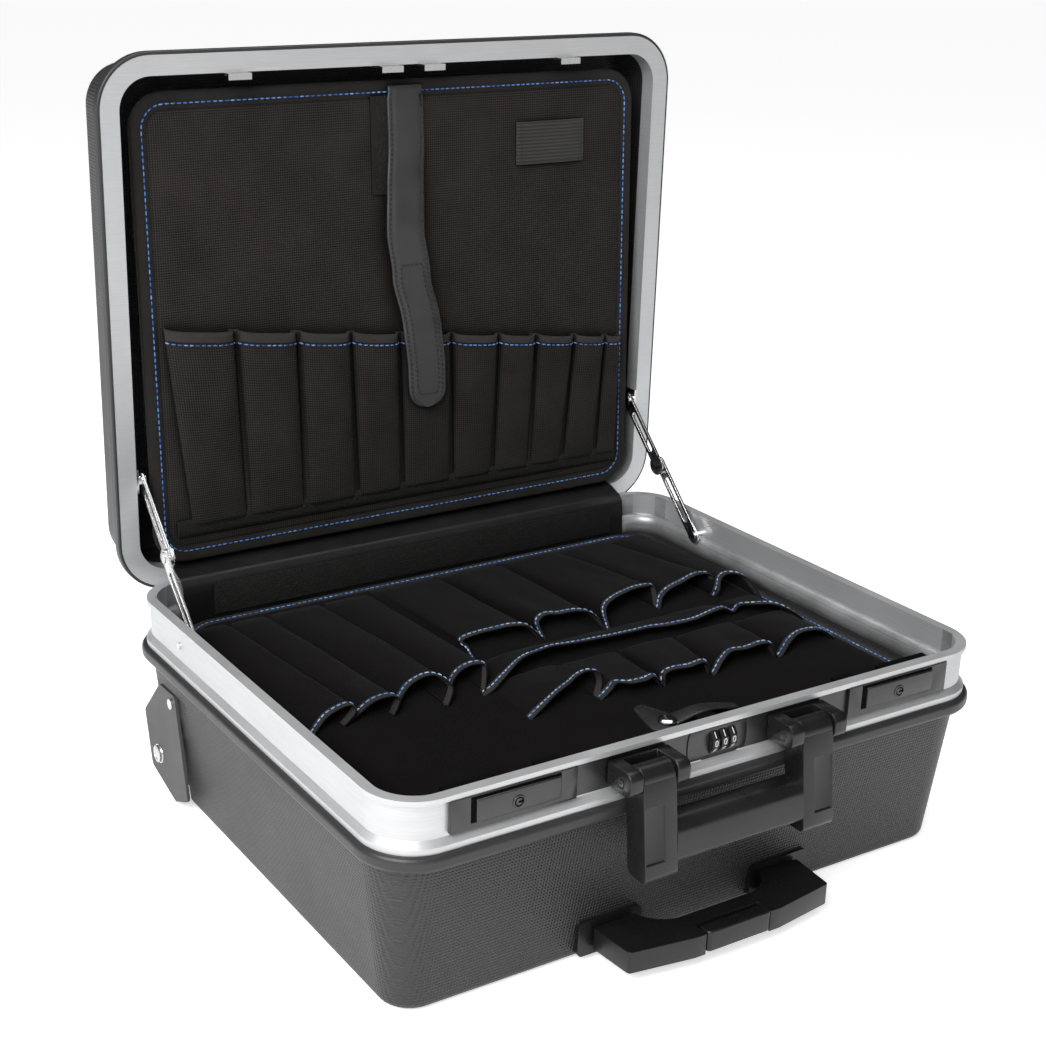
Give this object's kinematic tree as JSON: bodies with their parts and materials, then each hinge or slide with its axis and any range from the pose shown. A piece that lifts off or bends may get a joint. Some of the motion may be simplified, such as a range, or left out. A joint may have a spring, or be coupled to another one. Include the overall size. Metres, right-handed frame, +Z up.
{
  "type": "hard tool case",
  "caption": "Wheeled hard-shell tool case with hinged lid, folding stays, combination dials, key latches, carry handle, pull-out trolley handle and pocketed tool boards.",
  "frame": {"origin": "centre of the flat underside of the tray, on the surface it lies on", "axes": "+X to the right along the hinge, +Y to the back where the hinge is, +Z up; the locks face -Y and the lid stands open at 90 degrees"},
  "size_m": [0.49, 0.4919, 0.5381],
  "materials": {
    "frame_aluminium": "satin",
    "case_plastic": "fine ribbed texture",
    "black_plastic": "satin",
    "black_steel": "satin",
    "bright_steel": "polished",
    "chrome": "polished",
    "dial_plastic": "gloss",
    "tyre": "matte",
    "board_cloth": "woven",
    "pocket_cloth": "woven",
    "strap_webbing": "ribbed webbing",
    "tab_hide": "grained",
    "cover_hide": "smooth"
  },
  "bodies": {
    "base": {"base_shell": "case_plastic", "base_frame": "frame_aluminium", "lock_plate_left": "black_plastic", "lock_plate_right": "black_plastic", "combination_plate": "black_plastic", "lock_cases": "black_plastic", "dial_case": "black_plastic", "dial_axle": "bright_steel", "handle_bracket_left": "black_plastic", "handle_bracket_right": "black_plastic", "handle_pins": "bright_steel", "trolley_bezels": "black_plastic", "trolley_tubes": "frame_aluminium", "tube_clamps": "black_plastic", "wheel_bracket_left": "black_steel", "wheel_bracket_right": "black_steel", "axles": "bright_steel", "rivets": "bright_steel", "hinge_base_leaves": "bright_steel", "hinge_pins": "bright_steel", "stay_pivots": "bright_steel", "hinge_cover": "cover_hide", "base_board": "pocket_cloth", "base_pockets_left": "pocket_cloth", "base_pockets_back": "pocket_cloth", "base_pockets_middle": "pocket_cloth", "base_pockets_front": "pocket_cloth", "snap_tab": "tab_hide", "snap_stud": "chrome"},
    "lid": {"lid_shell": "case_plastic", "lid_frame": "frame_aluminium", "lid_strikes": "bright_steel", "hinge_lid_leaves": "bright_steel", "stay_brackets": "bright_steel", "lid_board": "board_cloth", "lid_board_posts": "black_plastic", "lid_pockets": "board_cloth", "tool_loops": "strap_webbing", "lid_strap": "tab_hide"},
    "carry_handle": {"carry_handle": "black_plastic"},
    "trolley_middle": {"trolley_middle_tubes": "frame_aluminium"},
    "trolley_grip": {"trolley_grip": "black_plastic", "trolley_rods": "frame_aluminium"},
    "trolley_button": {"trolley_button": "black_plastic"},
    "lock_tab_left": {"lock_tab_left": "black_plastic"},
    "key_barrel_left": {"key_barrel_left": "black_plastic"},
    "wheel_left": {"wheel_left": "black_plastic", "tyre_left": "tyre"},
    "stay_lower_left": {"stay_lower_left": "bright_steel"},
    "stay_upper_left": {"stay_upper_left": "bright_steel"},
    "lock_tab_right": {"lock_tab_right": "black_plastic"},
    "key_barrel_right": {"key_barrel_right": "black_plastic"},
    "wheel_right": {"wheel_right": "black_plastic", "tyre_right": "tyre"},
    "stay_lower_right": {"stay_lower_right": "bright_steel"},
    "stay_upper_right": {"stay_upper_right": "bright_steel"},
    "dial_1": {"dial_1": "dial_plastic"},
    "dial_2": {"dial_2": "dial_plastic"},
    "dial_3": {"dial_3": "dial_plastic"}
  },
  "joints": [
    {"name": "lid_hinge", "type": "hinge", "parent": "base", "child": "lid", "pos_m": [0, 0.1949, 0.1458], "axis": [1, 0, 0], "range_deg": [0, 90], "deforming": ["hinge_cover"]},
    {"name": "carry_handle_pivot", "type": "hinge", "parent": "base", "child": "carry_handle", "pos_m": [0, -0.2075, 0.1385], "axis": [-1, 0, 0], "range_deg": [0, 95]},
    {"name": "trolley_middle_slide", "type": "slide", "parent": "base", "child": "trolley_middle", "axis": [0, -1, 0], "range_m": [0, 0.29]},
    {"name": "trolley_grip_slide", "type": "slide", "parent": "trolley_middle", "child": "trolley_grip", "axis": [0, -1, 0], "range_m": [0, 0.28]},
    {"name": "trolley_button_press", "type": "slide", "parent": "trolley_grip", "child": "trolley_button", "axis": [0, 1, 0], "range_m": [0, 0.004], "stiffness_N_per_m": 400},
    {"name": "lock_tab_left_flip", "type": "hinge", "parent": "base", "child": "lock_tab_left", "pos_m": [-0.15401, -0.1957, 0.1473], "axis": [-1, 0, 0], "range_deg": [0, 35], "stiffness_Nm_per_rad": 0.02},
    {"name": "key_barrel_left_turn", "type": "hinge", "parent": "lock_tab_left", "child": "key_barrel_left", "pos_m": [-0.15401, -0.196, 0.1395], "axis": [0, 1, 0], "range_deg": [0, 90]},
    {"name": "wheel_left_spin", "type": "hinge", "parent": "base", "child": "wheel_left", "pos_m": [-0.21795, 0.162, 0.03], "axis": [1, 0, 0], "continuous": true},
    {"name": "stay_lower_left_turn", "type": "hinge", "parent": "base", "child": "stay_lower_left", "pos_m": [-0.2259, 0.112, 0.138], "axis": [1, 0, 0], "range_deg": [0, 124.8]},
    {"name": "stay_upper_left_turn", "type": "hinge", "parent": "lid", "child": "stay_upper_left", "pos_m": [-0.2234, 0.2074, 0.232], "axis": [-1, 0, 0], "range_deg": [0, 128.1]},
    {"name": "lock_tab_right_flip", "type": "hinge", "parent": "base", "child": "lock_tab_right", "pos_m": [0.15401, -0.1957, 0.1473], "axis": [-1, 0, 0], "range_deg": [0, 35], "stiffness_Nm_per_rad": 0.02},
    {"name": "key_barrel_right_turn", "type": "hinge", "parent": "lock_tab_right", "child": "key_barrel_right", "pos_m": [0.15401, -0.196, 0.1395], "axis": [0, 1, 0], "range_deg": [0, 90]},
    {"name": "wheel_right_spin", "type": "hinge", "parent": "base", "child": "wheel_right", "pos_m": [0.21795, 0.162, 0.03], "axis": [1, 0, 0], "continuous": true},
    {"name": "stay_lower_right_turn", "type": "hinge", "parent": "base", "child": "stay_lower_right", "pos_m": [0.2259, 0.112, 0.138], "axis": [1, 0, 0], "range_deg": [0, 124.8]},
    {"name": "stay_upper_right_turn", "type": "hinge", "parent": "lid", "child": "stay_upper_right", "pos_m": [0.2234, 0.2074, 0.232], "axis": [-1, 0, 0], "range_deg": [0, 128.1]},
    {"name": "dial_1_turn", "type": "hinge", "parent": "base", "child": "dial_1", "pos_m": [-0.0042, -0.1883, 0.1395], "axis": [1, 0, 0], "continuous": true},
    {"name": "dial_2_turn", "type": "hinge", "parent": "base", "child": "dial_2", "pos_m": [0.003, -0.1883, 0.1395], "axis": [1, 0, 0], "continuous": true},
    {"name": "dial_3_turn", "type": "hinge", "parent": "base", "child": "dial_3", "pos_m": [0.0102, -0.1883, 0.1395], "axis": [1, 0, 0], "continuous": true}
  ],
  "couplings": [
    {"joint": "stay_lower_left_turn", "follows": "lid_hinge", "ratio": 1.3857},
    {"joint": "stay_upper_left_turn", "follows": "lid_hinge", "ratio": 1.4218},
    {"joint": "stay_lower_right_turn", "follows": "lid_hinge", "ratio": 1.3857},
    {"joint": "stay_upper_right_turn", "follows": "lid_hinge", "ratio": 1.4218}
  ]
}
